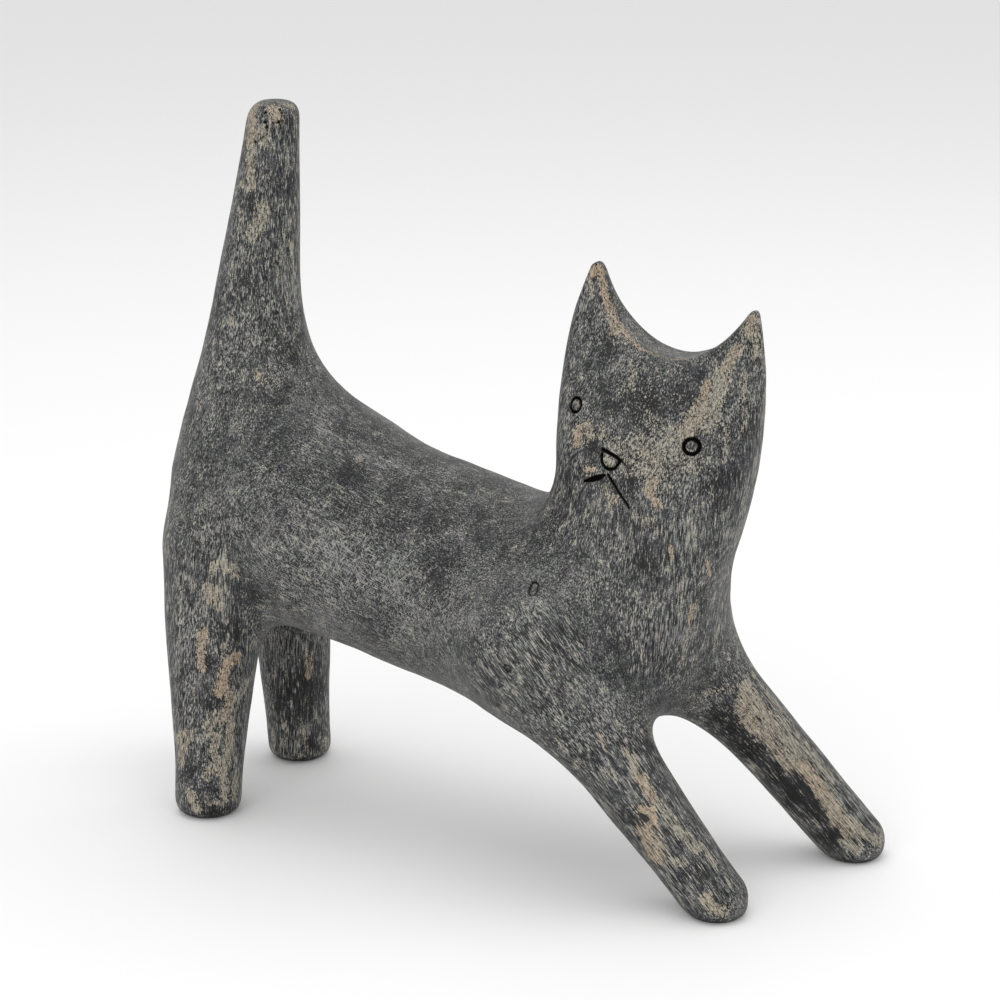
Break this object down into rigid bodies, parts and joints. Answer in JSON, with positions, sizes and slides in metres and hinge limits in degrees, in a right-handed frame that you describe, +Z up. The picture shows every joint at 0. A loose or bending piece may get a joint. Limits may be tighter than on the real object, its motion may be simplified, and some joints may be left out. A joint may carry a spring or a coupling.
{
  "type": "carved cat figure",
  "caption": "Free-standing folk-art figure of a stretching cat, with a straight raised tail, a flat tulip-shaped head turned to one side and plain splayed legs.",
  "frame": {"origin": "on the ground, under the middle of the figure's bounding box", "axes": "+X is the way the cat's body points, +Y is its left side and +Z is up"},
  "size_m": [0.2459, 0.0874, 0.2365],
  "materials": {
    "painted_wood": "charcoal paint rubbed and dry-brushed with grey-beige, worn through to a peach-beige ground",
    "peg_wood": "bare turned dowel"
  },
  "bodies": {
    "root": {"torso": "painted_wood", "head": "painted_wood", "tail": "painted_wood", "hind_right_leg": "painted_wood", "hind_left_leg": "painted_wood", "front_right_leg": "painted_wood", "front_left_leg": "painted_wood", "neck_peg": "peg_wood", "tail_peg": "peg_wood", "hind_right_peg": "peg_wood", "hind_left_peg": "peg_wood", "front_right_peg": "peg_wood", "front_left_peg": "peg_wood"}
  },
  "joints": []
}
